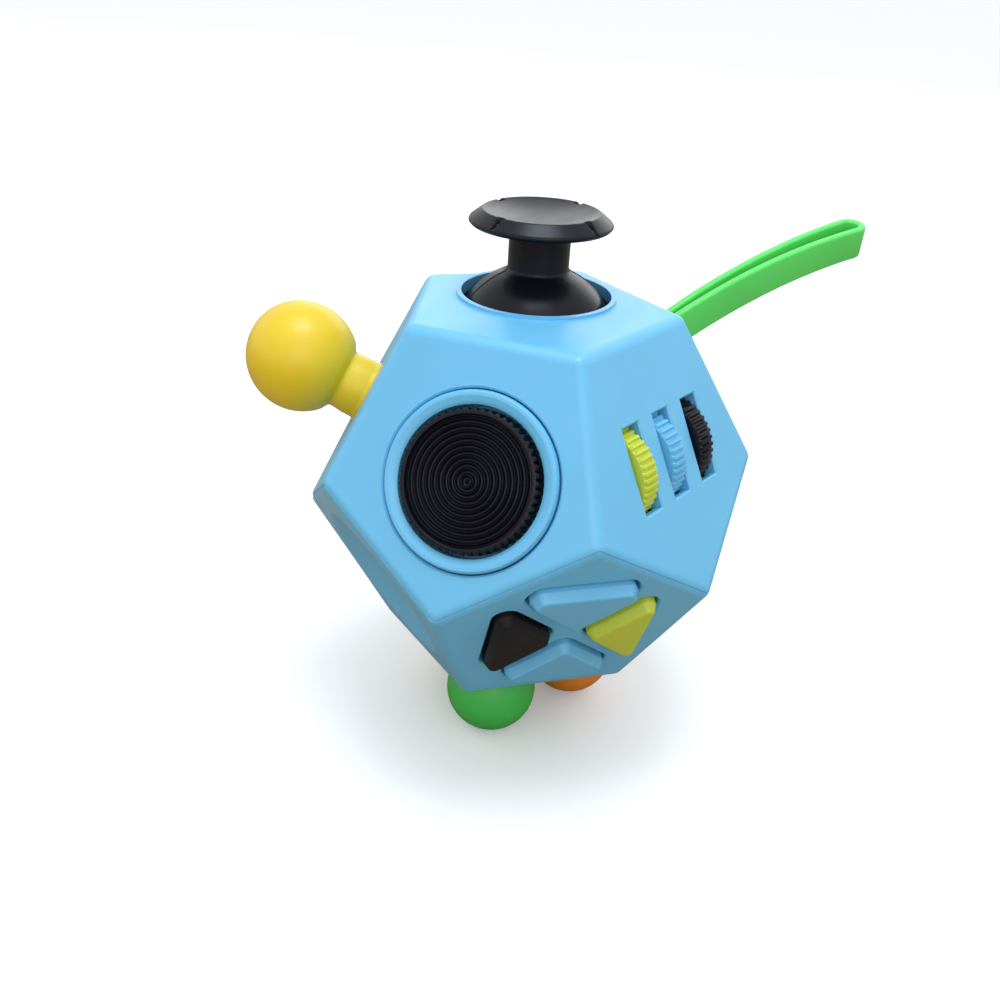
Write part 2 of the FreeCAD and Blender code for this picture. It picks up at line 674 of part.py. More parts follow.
def moved_out(points, distance):
    """The outline with every side moved out by a distance."""
    count = len(points)
    area = sum(points[i - 1][0] * points[i][1] - points[i][0] * points[i - 1][1] for i in range(count))
    sign = 1 if area > 0 else -1
    lines = []
    for i in range(count):
        (x0, y0), (x1, y1) = points[i], points[(i + 1) % count]
        length = math.hypot(x1 - x0, y1 - y0)
        nx, ny = sign * (y1 - y0) / length, -sign * (x1 - x0) / length
        lines.append((nx, ny, nx * x0 + ny * y0 + distance))
    corners = []
    for i in range(count):
        a, b, c = lines[i - 1]
        d, e, f = lines[i]
        det = a * e - b * d
        corners.append(((c * e - b * f) / det, (a * f - c * d) / det))
    return corners


def grown(points, distance, z0, z1):
    outline = rounded_wire(moved_out(points, distance), z0, BUTTON_CORNER + distance)
    return Part.Face(outline).extrude(V(0, 0, z1 - z0))


def button(points, index):
    """A key with a bevelled top, a flange under the shell and a plunger over the pad."""
    shoulder = BUTTON_TOP - BUTTON_BEVEL
    body = grown(points, 0.0, -3.5, shoulder)
    low = rounded_wire(points, shoulder, BUTTON_CORNER)
    high = rounded_wire(moved_out(points, -BUTTON_LEAN), BUTTON_TOP, BUTTON_CORNER - BUTTON_LEAN)
    crown = Part.makeLoft([low, high], True, True)
    flange = grown(points, 0.6, -3.5, INSIDE - 0.3)
    x, y = polar(90 + 90 * index, BUTTON_CENTRE_R)
    plunger_end = BUTTON_TRAVEL + 0.2 - CARRIER_Z
    return fused([body, crown, flange, cyl(PLUNGER_R, plunger_end, -3.4, x, y)])


def make_buttons():
    pad = [cyl(12.0, -7.0, -6.0)]
    wells = []
    for i in range(4):
        x, y = polar(90 * i, BUTTON_CENTRE_R)
        pad.append(cyl(2.7, -6.2, -5.0, x, y))
        wells.append(cyl(PLUNGER_R + 0.45, -8, 0, x, y))
    carrier = [cyl(12.0, -CARRIER_Z - 1.2, -CARRIER_Z)]
    screws, holes = [], []
    for angle in CARRIER_ANGLES:
        x, y = polar(angle, CARRIER_SCREW_R)
        x, y = x - PAD_AT[0], y - PAD_AT[1]
        arm = box(CARRIER_SCREW_R, 4.0, -CARRIER_Z - 1.2, -CARRIER_Z, CARRIER_SCREW_R / 2)
        arm.rotate(V(0, 0, 0), V(0, 0, 1), math.degrees(math.atan2(y, x)))
        carrier += [arm, cyl(2.0, -CARRIER_Z - 1.2, -CARRIER_Z, x, y)]
        holes.append(cyl(SCREW_R, -9, -6, x, y))
        screws.append(screw(x, y, -CARRIER_Z - 1.2, 5.0))
    parts = {
        "button_pad": fused(pad).cut(wells),
        "button_carrier": fused(carrier).cut(holes),
        "carrier_screws": Part.makeCompound(screws),
    }
    for i, (name, points) in enumerate(zip(BUTTON_NAMES, button_outlines())):
        parts[name] = button(points, i)
    return {name: put(shape, "L0", *PAD_AT) for name, shape in parts.items()}


# --- ball stick -------------------------------------------------------------------------------------
RETAINER_X = 9.2
RETAINER_Z = 3.6


def make_ball_stick():
    """A silicone ball on a stalk, split where the stalk bends, with its plug and the plate behind."""
    root_r = STALK_R + 0.6
    stalk = turned([(0, BEND_Z), (STALK_R, BEND_Z), (STALK_R - 0.3, BALL_Z - BALL_R + 1.2),
                    (STALK_R - 0.2, BALL_Z), (0, BALL_Z)])
    stick = fused([ball(STALK_R, BEND_Z), stalk, ball(BALL_R, BALL_Z)])
    root = fused([cyl(6.6, -RETAINER_Z, INSIDE), cyl(root_r, -5.4, -0.15)])
    root = root.cut(ball(STALK_R + 0.12, BEND_Z))
    plate = fused([cyl(7.4, -5.0, -RETAINER_Z), box(2 * RETAINER_X, 5.0, -5.0, -RETAINER_Z)]
                  + [cyl(2.5, -5.0, -RETAINER_Z, x, 0) for x in (-RETAINER_X, RETAINER_X)])
    plate = plate.cut([cyl(root_r, -6, 0)] + [cyl(SCREW_R, -6, 0, x, 0) for x in (-RETAINER_X, RETAINER_X)])
    screws = [screw(x, 0, -5.0, 3.6) for x in (-RETAINER_X, RETAINER_X)]
    parts = {
        "ball_stick": stick,
        "ball_stick_root": root,
        "ball_stick_retainer": plate,
        "retainer_screws": Part.makeCompound(screws),
    }
    return {name: put(shape, "U4") for name, shape in parts.items()}


# --- feet -------------------------------------------------------------------------------------------
FOOT_PLATE_Z = 3.2


def foot_place(azimuth):
    x, y = polar(azimuth, FOOT_CIRCLE_R)
    return -x, y


def make_feet():
    nodes = {}
    plate = [cyl(3.8, -FOOT_PLATE_Z - 1.2, -FOOT_PLATE_Z)]
    for name, azimuth in FOOT_AZIMUTHS.items():
        x, y = foot_place(azimuth)
        bulb = ball(FOOT_R, FOOT_REACH - FOOT_R).cut(cyl(FOOT_R, -FOOT_R, 0))
        foot = fused([bulb, cyl(FOOT_NECK_R, -FOOT_PLATE_Z, 0.5), cyl(4.0, -FOOT_PLATE_Z, INSIDE)])
        foot.translate(V(x, y, 0))
        nodes[name] = put(foot, "B")
        plate.append(cyl(3.1, -FOOT_PLATE_Z - 1.2, -FOOT_PLATE_Z, x, y))
        arm = box(FOOT_CIRCLE_R, 5.0, -FOOT_PLATE_Z - 1.2, -FOOT_PLATE_Z, FOOT_CIRCLE_R / 2)
        arm.rotate(V(0, 0, 0), V(0, 0, 1), 180 - azimuth)
        plate.append(arm)
    nodes["foot_clamp_plate"] = put(fused(plate).cut(cyl(SCREW_R, -6, 0)), "B")
    nodes["foot_clamp_screw"] = put(screw(0, 0, -FOOT_PLATE_Z - 1.2, 3.5), "B")
    return nodes


# --- wrist strap ------------------------------------------------------------------------------------
STRAP_SLOT_X = 1.6
STRAP_SLOT_CORNER = 0.8


def strap_lugs():
    """The two lugs under the shell that hold the strap's anchor pin, the pin along y."""
    lugs = []
    for side in (-1, 1):
        lug = box(4.6, 1.5, STRAP_PIN_Z - 1.9, -1.5, 0, side * (STRAP_W / 2 + 1.4))
        pin = rod(STRAP_PIN_R, V(0, -9, STRAP_PIN_Z), V(0, 9, STRAP_PIN_Z))
        lugs.append(lug.cut(pin))
    return lugs


def teardrop(small_r, large_r, z0, z1):
    """The outline of a loop in the x-z plane: a small and a large end joined by tangent sides."""
    lean = math.asin((large_r - small_r) / (z1 - z0))
    c, s = math.cos(lean), math.sin(lean)
    a = V(small_r * c, 0, z0 - small_r * s)
    b = V(large_r * c, 0, z1 - large_r * s)
    mirror_a, mirror_b = V(-a.x, 0, a.z), V(-b.x, 0, b.z)
    edges = [Part.LineSegment(a, b).toShape(),
             Part.Arc(b, V(0, 0, z1 + large_r), mirror_b).toShape(),
             Part.LineSegment(mirror_b, mirror_a).toShape(),
             Part.Arc(mirror_a, V(0, 0, z0 - small_r), a).toShape()]
    return Part.Face(Part.Wire(edges))


def wrist_strap():
    """A moulded loop: an eye round the pin, a root through the wall and two flat strands that droop."""
    half = STRAP_T / 2
    reach = STRAP_OUT * math.cos(math.radians(STRAP_DROOP_DEG))
    band = teardrop(STRAP_ROOT_T / 2, STRAP_TIP_R + half, STRAP_PIN_Z, reach - STRAP_TIP_R)
    hollow = teardrop(0.15, STRAP_TIP_R - half, STRAP_PART_Z, reach - STRAP_TIP_R)
    ring = band.cut(hollow).extrude(V(0, 80, 0))
    ring.translate(V(0, -40, 0))
    # the side view: straight through the wall, then an arc that turns down, as wide as the strap
    radius = STRAP_OUT / (2 * math.sin(math.radians(STRAP_DROOP_DEG)))
    turn = math.radians(2 * STRAP_DROOP_DEG + 3)
    w = STRAP_W / 2

    def bend(offset, angle):
        return V(0, -radius + (radius + offset) * math.cos(angle), (radius + offset) * math.sin(angle))

    start = STRAP_PIN_Z - STRAP_EYE_R - 2
    edges = [Part.LineSegment(V(0, w, start), V(0, w, 0)).toShape(),
             Part.Arc(V(0, w, 0), bend(w, turn / 2), bend(w, turn)).toShape(),
             Part.LineSegment(bend(w, turn), bend(-w, turn)).toShape(),
             Part.Arc(bend(-w, turn), bend(-w, turn / 2), V(0, -w, 0)).toShape(),
             Part.LineSegment(V(0, -w, 0), V(0, -w, start)).toShape(),
             Part.LineSegment(V(0, -w, start), V(0, w, start)).toShape()]
    side = Part.Face(Part.Wire(edges)).extrude(V(12, 0, 0))
    side.translate(V(-6, 0, 0))
    eye = rod(STRAP_EYE_R, V(0, -w, STRAP_PIN_Z), V(0, w, STRAP_PIN_Z))
    strap = fused([ring.common(side), eye])
    return strap.cut(rod(STRAP_PIN_R + RUN_FIT, V(0, -9, STRAP_PIN_Z), V(0, 9, STRAP_PIN_Z)))


def make_strap():
    pin_half = STRAP_W / 2 + 2.15
    pin = rod(STRAP_PIN_R, V(0, -pin_half, STRAP_PIN_Z), V(0, pin_half, STRAP_PIN_Z))
    return {
        "wrist_strap": put(wrist_strap(), "U2", 0, STRAP_Y),
        "strap_anchor_pin": put(pin, "U2", 0, STRAP_Y),
    }


# --- rocker switch ----------------------------------------------------------------------------------
ROCKER_FRAME_W = 10.0
ROCKER_FRAME_L = 16.8


def make_rocker():
    """A see-saw switch that turns about x, in a frame that lines its hole in the shell."""
    frame = rounded_box(ROCKER_FRAME_W, ROCKER_FRAME_L, -4.6, 0.1, 1.2)
    rim = rounded_box(ROCKER_FRAME_W + 2.2, ROCKER_FRAME_L + 2.2, 0.0, 0.8, 1.8)
    frame = fused([frame, rim]).cut(rounded_box(ROCKER_W + 0.8, ROCKER_L + 2.2, -8, 2, 0.5))
    pivot = ROCKER_PIVOT_Z
    frame = frame.cut(rod(0.9 + RUN_FIT, V(-9, 0, pivot), V(9, 0, pivot)))
    half = ROCKER_L / 2
    profile = [(-half, -1.0), (-half, 2.3), (-half + 0.5, 2.5), (0, 1.0), (half - 0.5, 2.5), (half, 2.3),
               (half, -1.0), (2.2, -5.4), (-2.2, -5.4)]
    face = Part.Face(Part.makePolygon([V(0, y, z) for y, z in profile + profile[:1]]))
    rocker = face.extrude(V(ROCKER_W, 0, 0))
    rocker.translate(V(-ROCKER_W / 2, 0, 0))
    rocker = rocker.cut(rod(0.9, V(-9, 0, pivot), V(9, 0, pivot)))
    pin_half = ROCKER_FRAME_W / 2 - 0.1
    parts = {
        "rocker_frame": frame,
        "rocker_switch": rocker,
        "rocker_pin": rod(0.9, V(-pin_half, 0, pivot), V(pin_half, 0, pivot)),
    }
    nodes = {name: put(shape, "U3") for name, shape in parts.items()}
    nodes["rocker_frame"] = nodes["rocker_frame"].cut(dome_sweep())
    return nodes


# --- slider -----------------------------------------------------------------------------------------
TRACK_Y = 11.8
TRACK_Z = 4.9
TRACK_L = 18.0


def make_slider():
    """A thumb slider along y: a ribbed knob outside, its shoe inside and the track behind."""
    knob = rounded_box(6.8, 8.4, 0.2, 2.0, 2.2)
    knob = knob.makeFillet(0.5, [e for e in knob.Edges if e.BoundBox.ZMin > 1.9])
    for i in range(-2, 3):
        knob = knob.cut(box(4.6, 0.6, 1.6, 3, 0, i * 1.3))
    neck = rounded_box(SLIDE_SLOT_W - 0.6, 4.6, INSIDE - 0.3, 0.4, 1.4)
    knob = fused([knob, neck])
    shoe = box(7.6, 7.6, -3.7, INSIDE - 0.3)
    ends = [(0, side * TRACK_Y) for side in (-1, 1)]
    base = -TRACK_Z - 1.2
    track = fused([box(10.4, TRACK_L, base, -TRACK_Z), box(4.4, 2 * TRACK_Y, base, -TRACK_Z)]
                  + [box(1.2, TRACK_L, -TRACK_Z - 0.2, INSIDE, side * 4.6) for side in (-1, 1)]
                  + [cyl(2.2, base, -TRACK_Z, x, y) for x, y in ends]
                  + [box(2.0, 15.4, -TRACK_Z - 0.2, -4.0)])
    track = track.cut([cyl(SCREW_R, -8, -4, x, y) for x, y in ends])
    screws = [screw(x, y, base, 4.8) for x, y in ends]
    parts = {
        "slider_knob": knob,
        "slider_shoe": shoe,
        "slider_track": track,
        "track_screws": Part.makeCompound(screws),
    }
    return {name: put(shape, "L1") for name, shape in parts.items()}


# --- roller ball ------------------------------------------------------------------------------------
ROLLER_HOLE_R = 7.4


def make_roller():
    """A captive steel ball between a trim ring and a cup."""
    mouth = math.sqrt(ROLLER_R ** 2 - ROLLER_Z ** 2) + MOVE_GAP
    ring = turned([(mouth, -1.2), (ROLLER_HOLE_R, -1.2), (ROLLER_HOLE_R, 0), (ROLLER_HOLE_R + 1.5, 0),
                   (ROLLER_HOLE_R + 1.1, 0.7), (ROLLER_HOLE_R - 0.3, 0.9), (mouth, 0.3)])
    ring = ring.cut(ball(ROLLER_R + MOVE_GAP, ROLLER_Z))
    cup = fused([cyl(ROLLER_HOLE_R + 1.0, -5.0, INSIDE), cyl(ROLLER_HOLE_R, -11.4, -1.2)])
    cup = cup.cut([ball(ROLLER_R + MOVE_GAP, ROLLER_Z), cyl(ROLLER_R + MOVE_GAP, ROLLER_Z, 0)])
    parts = {
        "roller_ball": ball(ROLLER_R, ROLLER_Z),
        "roller_ring": ring,
        "roller_cup": cup,
    }
    return {name: put(shape, "L2") for name, shape in parts.items()}


def main():
    os.makedirs("parts", exist_ok=True)
    nodes = {}
    for make in (make_shells, make_joystick, make_dial, make_wheels, make_buttons, make_ball_stick,
                 make_feet, make_strap, make_rocker, make_slider, make_roller):
        nodes.update(make())
    for name, shape in nodes.items():
        shape.exportStep(f"parts/{name}.step")
    return nodes


if __name__ == "__main__":
    main()
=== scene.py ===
import json
import math

import bmesh
import bpy
from mathutils import Matrix, Vector


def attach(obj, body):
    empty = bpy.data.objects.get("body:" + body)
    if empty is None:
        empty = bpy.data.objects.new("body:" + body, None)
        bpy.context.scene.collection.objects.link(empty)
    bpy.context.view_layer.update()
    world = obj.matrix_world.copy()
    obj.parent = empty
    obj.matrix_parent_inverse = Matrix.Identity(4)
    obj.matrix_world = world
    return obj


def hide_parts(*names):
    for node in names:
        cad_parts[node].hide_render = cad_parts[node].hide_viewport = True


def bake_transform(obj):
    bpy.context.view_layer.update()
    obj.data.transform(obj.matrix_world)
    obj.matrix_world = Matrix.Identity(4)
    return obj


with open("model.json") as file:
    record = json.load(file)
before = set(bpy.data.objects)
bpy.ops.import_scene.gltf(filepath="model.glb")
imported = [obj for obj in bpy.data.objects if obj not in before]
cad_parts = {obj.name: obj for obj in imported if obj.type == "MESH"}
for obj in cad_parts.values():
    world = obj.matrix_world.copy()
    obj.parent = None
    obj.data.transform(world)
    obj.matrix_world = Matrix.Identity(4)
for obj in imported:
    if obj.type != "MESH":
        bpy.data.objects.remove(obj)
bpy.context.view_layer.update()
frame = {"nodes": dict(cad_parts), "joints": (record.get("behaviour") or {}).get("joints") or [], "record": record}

# A twelve-sided fidget toy. Shapes are written in millimetres in the frame of the face or control that
# they belong to (x to the right and y up as seen from outside, z outward) and placed from the frame.

MM = 0.001
NODES = frame["nodes"]
JOINTS = {joint["name"]: joint for joint in frame["joints"]}
MOUNTS = {mount["name"]: mount for mount in frame["record"]["mounts"]}
SLOT_OF = {part["node"]: part["material_slot"] for part in frame["record"]["subparts"]}

# the body, from the plain side's place: its outward axis and how far it stands from the middle
PLAIN_SIDE = MOUNTS["plain_side"]
SIDE_AT = Vector(PLAIN_SIDE["pos_m"])
SIDE_OUT = Vector(PLAIN_SIDE["axis"])
IN_RADIUS = SIDE_AT.xy.length / SIDE_OUT.xy.length
CENTRE = Vector((0, 0, SIDE_AT.z - SIDE_OUT.z * IN_RADIUS))
RING_TILT = math.atan(0.5)             # how far the upper faces look up and the lower ones down
RING_STEP = 72                         # degrees from one face of a ring to the next
RING_START = {"U": -90, "L": -54}      # degrees to the first face of the upper and the lower ring


# --- frames -----------------------------------------------------------------------------------------
def face_axes(name):
    """The right, up and outward directions of a face: T, B, U0 to U4 or L0 to L4."""
    if name in "TB":
        side = 1 if name == "T" else -1
        return Vector((side, 0, 0)), Vector((0, 1, 0)), Vector((0, 0, side))
    azimuth = math.radians(RING_START[name[0]] + RING_STEP * int(name[1]))
    rise = RING_TILT if name[0] == "U" else -RING_TILT
    flat = math.cos(rise)
    out = Vector((flat * math.cos(azimuth), flat * math.sin(azimuth), math.sin(rise)))
    up = (Vector((0, 0, 1)) - out * out.z).normalized()
    return up.cross(out), up, out


def face_frame(name, x=0.0, y=0.0, at=None):
    """The matrix from a face's millimetres to the row's metres, its origin on the face or at a point."""
    right, up, out = face_axes(name)
    origin = Vector(at) if at else CENTRE + out * IN_RADIUS + (right * x + up * y) * MM
    turn = Matrix((right, up, out)).transposed().to_4x4()
    return Matrix.Translation(origin) @ turn @ Matrix.Scale(MM, 4)


# --- meshes -----------------------------------------------------------------------------------------
LONGEST_CUT = 0.48                 # the part of a side that a rounded corner may take
NEARLY_STRAIGHT = 0.01             # radians: a bend that needs no rounding
ON_AXIS = 1e-6                     # millimetres: a lathed point this near the axis is a pole
WELD = 1e-7                        # metres: points nearer than this are one
CAD_WELD = 2e-6
CAD_SMOOTH = 30                    # degrees
CAD_FLAT = math.radians(0.6)       # faces this nearly level with each other are one
CAD_HARD_EDGE = math.radians(38)


def polar(radius, angle, z=0.0):
    return Vector((radius * math.cos(angle), radius * math.sin(angle), z))


def off_plane(angle, plane):
    """How far a direction about an axis is turned from a plane that holds the axis."""
    return abs((angle - plane + math.pi / 2) % math.pi - math.pi / 2)


def soften(points, radius, steps, closed=False):
    """A line with its corners rounded. radius is one number, or one for each point."""
    line = [Vector(p) for p in points]
    count = len(line)
    radii = radius if isinstance(radius, (list, tuple)) else [radius] * count
    result = []
    for i, corner in enumerate(line):
        if not closed and i in (0, count - 1):
            result.append(corner)
            continue
        before, after = line[i - 1] - corner, line[(i + 1) % count] - corner
        half = before.angle(after) / 2
        if radii[i] <= 0 or half > math.pi / 2 - NEARLY_STRAIGHT:
            result.append(corner)
            continue
        back = min(radii[i] / math.tan(half), LONGEST_CUT * before.length, LONGEST_CUT * after.length)
        reach = back / math.cos(half)
        centre = corner + (before.normalized() + after.normalized()).normalized() * reach
        start = corner + before.normalized() * back - centre
        end = corner + after.normalized() * back - centre
        across = start.angle(end)
        for k in range(steps + 1):
            part = across * k / steps
            blend = (start * math.sin(across - part) + end * math.sin(part)) / math.sin(across)
            result.append(centre + blend)
    return result


def skin(name, rings, place, smooth, loop=False):
    """A mesh over rings of points: a ring of one point is a pole, and open ends are capped."""
    points, starts = [], []
    for ring in rings:
        starts.append(len(points))
        points += [place @ Vector(p) for p in ring]
    faces = []
    pairs = len(rings) if loop else len(rings) - 1
    for i in range(pairs):
        a, b = rings[i], rings[(i + 1) % len(rings)]
        sa, sb = starts[i], starts[(i + 1) % len(rings)]
        count = max(len(a), len(b))
        for k in range(count):
            n = (k + 1) % count
            if len(a) == 1:
                faces.append((sa, sb + k, sb + n))
            elif len(b) == 1:
                faces.append((sa + k, sb, sa + n))
            else:
                faces.append((sa + k, sb + k, sb + n, sa + n))
    if not loop:
        for ring, start in ((rings[0], starts[0]), (rings[-1], starts[-1])):
            if len(ring) > 1:
                faces.append(tuple(range(start, start + len(ring))))
    mesh = bpy.data.meshes.new(name)
    mesh.from_pydata(points, [], faces)
    return add_piece(name, mesh, smooth)


def add_piece(name, mesh, smooth):
    """A new object with its normals outward, smooth except across edges sharper than an angle."""
    work = bmesh.new()
    work.from_mesh(mesh)
    bmesh.ops.remove_doubles(work, verts=work.verts, dist=WELD)
    bmesh.ops.recalc_face_normals(work, faces=work.faces)
    work.to_mesh(mesh)
    work.free()
    mesh.shade_smooth()
    mesh.set_sharp_from_angle(angle=math.radians(smooth))
    piece = bpy.data.objects.new(name, mesh)
    bpy.context.scene.collection.objects.link(piece)
    return piece


def lathe(name, profile, place, steps, shape=None, loop=False, smooth=40):
    """A line of (radius, z) points turned about z. shape(radius, z, angle) may shift a point."""
    rings = []
    for radius, z in profile:
        if radius < ON_AXIS:
            rings.append([Vector((0, 0, z))])
            continue
        ring = []
        for i in range(steps):
            angle = math.tau * i / steps
            r, height = shape(radius, z, angle) if shape else (radius, z)
            ring.append(polar(r, angle, height))
        rings.append(ring)
    return skin(name, rings, place, smooth, loop)


def arc(centre_r, centre_z, radius, start, end, steps):
    """Points on a round stretch of a profile; angles in degrees from the radial direction."""
    points = []
    for i in range(steps + 1):
        angle = math.radians(start + (end - start) * i / steps)
        points.append((centre_r + radius * math.cos(angle), centre_z + radius * math.sin(angle)))
    return points


def finished_copy(node, name, edge):
    """A CAD node's shape with every hard edge broken by a small rounded bevel."""
    mesh = NODES[node].data.copy()
    mesh.materials.clear()
    piece = add_piece(name, mesh, CAD_SMOOTH)
    work = bmesh.new()
    work.from_mesh(mesh)
    bmesh.ops.remove_doubles(work, verts=work.verts, dist=CAD_WELD)
    bmesh.ops.dissolve_limit(work, angle_limit=CAD_FLAT, verts=work.verts, edges=work.edges)
    work.to_mesh(mesh)
    work.free()
    bevel = piece.modifiers.new("edges", "BEVEL")
    bevel.width = edge * MM
    bevel.segments = 3
    bevel.limit_method = "ANGLE"
    bevel.angle_limit = CAD_HARD_EDGE
    bevel.use_clamp_overlap = True
    bevel.miter_outer = "MITER_ARC"
    bevel.harden_normals = True
    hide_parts(node)
    return piece


# --- materials --------------------------------------------------------------------------------------
CLOUD_SCALE = 70.0                 # features per metre, as is the next one
SCUFF_SCALE = 240.0
SCUFF_STRETCH = (1.0, 0.35, 0.6)
GRAIN_STRENGTH = 0.5

BODY_BLUE = (0.135, 0.470, 0.735)
BLUE_SOFT = (0.4, 1.0, 1.6)


def link(tree, source, target):
    tree.links.new(source, target)


def noise(tree, place, scale, detail, stretch=None):
    """A noise texture on the object's own coordinates, in features per metre."""
    node = tree.nodes.new("ShaderNodeTexNoise")
    node.inputs["Scale"].default_value = scale
    node.inputs["Detail"].default_value = detail
    if stretch:
        mapping = tree.nodes.new("ShaderNodeMapping")
        mapping.inputs["Scale"].default_value = stretch
        link(tree, place.outputs["Object"], mapping.inputs["Vector"])
        link(tree, mapping.outputs["Vector"], node.inputs["Vector"])
    else:
        link(tree, place.outputs["Object"], node.inputs["Vector"])
    return node


def spread(tree, source, low, high, start=0.3, end=0.7):
    """A value remapped from start..end to low..high."""
    node = tree.nodes.new("ShaderNodeMapRange")
    node.inputs["From Min"].default_value = start
    node.inputs["From Max"].default_value = end
    node.inputs["To Min"].default_value = low
    node.inputs["To Max"].default_value = high
    link(tree, source, node.inputs["Value"])
    return node.outputs["Result"]


def surface(name, colour, rough=0.35, tone=0.06, grain=5000.0, grain_depth=0.012, scuff=0.06,
            metallic=0.0, soft=0.0, soft_radius=(1.0, 1.0, 1.0), specular=0.5):
    """A moulded or metal surface: cloudy tone, fine grain, and scuffs that change its roughness."""
    material = bpy.data.materials.new(name)
    material.use_nodes = True
    tree = material.node_tree
    shader = tree.nodes["Principled BSDF"]
    place = tree.nodes.new("ShaderNodeTexCoord")
    cloud = noise(tree, place, CLOUD_SCALE, 4.0)
    mix = tree.nodes.new("ShaderNodeMix")
    mix.data_type = "RGBA"
    mix.inputs["A"].default_value = [c * (1 - tone) for c in colour] + [1]
    mix.inputs["B"].default_value = [min(1, c * (1 + tone)) for c in colour] + [1]
    link(tree, spread(tree, cloud.outputs["Fac"], 0, 1), mix.inputs["Factor"])
    link(tree, mix.outputs["Result"], shader.inputs["Base Color"])
    scuffs = noise(tree, place, SCUFF_SCALE, 6.0, SCUFF_STRETCH)
    roughness = spread(tree, scuffs.outputs["Fac"], rough - scuff, rough + scuff)
    link(tree, roughness, shader.inputs["Roughness"])
    fine = noise(tree, place, grain, 2.0)
    bump = tree.nodes.new("ShaderNodeBump")
    bump.inputs["Strength"].default_value = GRAIN_STRENGTH
    bump.inputs["Distance"].default_value = grain_depth * MM
    link(tree, fine.outputs["Fac"], bump.inputs["Height"])
    link(tree, bump.outputs["Normal"], shader.inputs["Normal"])
    shader.inputs["Metallic"].default_value = metallic
    shader.inputs["Specular IOR Level"].default_value = specular
    if soft:
        shader.inputs["Subsurface Weight"].default_value = soft
        shader.inputs["Subsurface Radius"].default_value = soft_radius
        shader.inputs["Subsurface Scale"].default_value = MM
    return material


MATERIALS = {
    "shell": surface("body_blue_plastic", BODY_BLUE, rough=0.36, tone=0.03, soft=0.12, soft_radius=BLUE_SOFT),
    "blue_plastic": surface("key_blue_plastic", BODY_BLUE, rough=0.30, tone=0.03, soft=0.12,
                            soft_radius=BLUE_SOFT),
    "black_gloss": surface("satin_black_plastic", (0.004, 0.004, 0.009), rough=0.32, tone=0.15,
                           grain=3800.0, grain_depth=0.02, specular=0.25),
    "black_matte": surface("matt_black_plastic", (0.006, 0.005, 0.007), rough=0.5, tone=0.12,
                           grain=4200.0, grain_depth=0.03, specular=0.25),
    "lime_plastic": surface("lime_plastic", (0.53, 0.62, 0.045), rough=0.30, tone=0.04, soft=0.15,
                            soft_radius=(1.0, 1.0, 0.3)),
    "inner_plastic": surface("natural_plastic", (0.60, 0.60, 0.58), rough=0.5, tone=0.03, soft=0.1),
    "grey_silicone": surface("grey_silicone", (0.28, 0.29, 0.31), rough=0.55, tone=0.05),
    "yellow_silicone": surface("yellow_silicone", (0.76, 0.53, 0.012), rough=0.36, tone=0.04, soft=0.12,
                               soft_radius=(1.6, 1.2, 0.4), grain=2600.0, grain_depth=0.02),
    "green_silicone": surface("green_silicone", (0.045, 0.45, 0.07), rough=0.42, tone=0.06, soft=0.25,
                              soft_radius=(0.5, 1.5, 0.5), grain=2600.0, grain_depth=0.02),
    "orange_silicone": surface("orange_silicone", (0.75, 0.23, 0.015), rough=0.42, tone=0.06, soft=0.25,
                               soft_radius=(1.6, 0.8, 0.3), grain=2600.0, grain_depth=0.02),
    "strap_silicone": surface("strap_silicone", (0.10, 0.64, 0.12), rough=0.40, tone=0.05, soft=0.3,
                              soft_radius=(0.6, 1.6, 0.6), grain=2600.0, grain_depth=0.02),
    "steel": surface("bright_steel", (0.56, 0.56, 0.57), rough=0.28, tone=0.04, metallic=1.0,
                     grain=2500.0, grain_depth=0.01),
    "chrome": surface("polished_steel", (0.78, 0.78, 0.80), rough=0.1, tone=0.02, metallic=1.0, scuff=0.04,
                      grain_depth=0.002),
}


def finish_piece(piece, slot, body, *nodes):
    """Gives a new piece the material of its slot and its body, and hides the CAD nodes that it stands for."""
    piece.data.materials.clear()
    piece.data.materials.append(MATERIALS[slot])
    if nodes:
        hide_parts(*nodes)
    if body:
        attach(piece, body)


# --- joystick ---------------------------------------------------------------------------------------
JOYSTICK_STEPS = 480
DOME_R = 11.7
DOME_WALL = 1.4
DOME_SKIRT = 14.0                  # degrees above the pivot's level, as is the next one
DOME_ROOF = 52.0
STEM_R = 2.4
STEM_TOP_Z = 6.6                   # above the pivot, as are the next four heights
STEM_END_Z = 2.6
CAP_UNDER_Z = 16.2
RIM_Z = 17.45
CAP_TOP_Z = 19.05
PIVOT_BALL_R = 2.9
POST_R = 4.2
POST_FLARE = 0.7
POST_FILLET = 0.9
PEG_R = 2.2
PEG_TOP_Z = CAP_UNDER_Z + 1.0
DOME_LINE_H = 0.09                 # the mould line over the dome
DOME_LINE_AT = math.radians(213)

CAP_R = 9.75
CAP_HUB_R = 5.9
CAP_EDGE = 0.15                    # how far the slope's foot is inside the rim
CREST_W = 0.2                      # the flat top between the slope and the dish
DISH_R = 7.8
DISH_DROP = 1.05
DISH_SPHERE_R = (DISH_R ** 2 + DISH_DROP ** 2) / (2 * DISH_DROP)
DISH_EDGE = 0.3                    # the rounding between the flat top and the dish
DISH_STEPS = 24
SLOPE_STEPS = 16
NOTCHES = 4
NOTCH_FIRST = math.radians(-22)
NOTCH_HALF_W = 0.7
NOTCH_DEPTH = 0.9
NOTCH_TAPER = 0.6                  # how much of its width and depth a notch loses by the rim


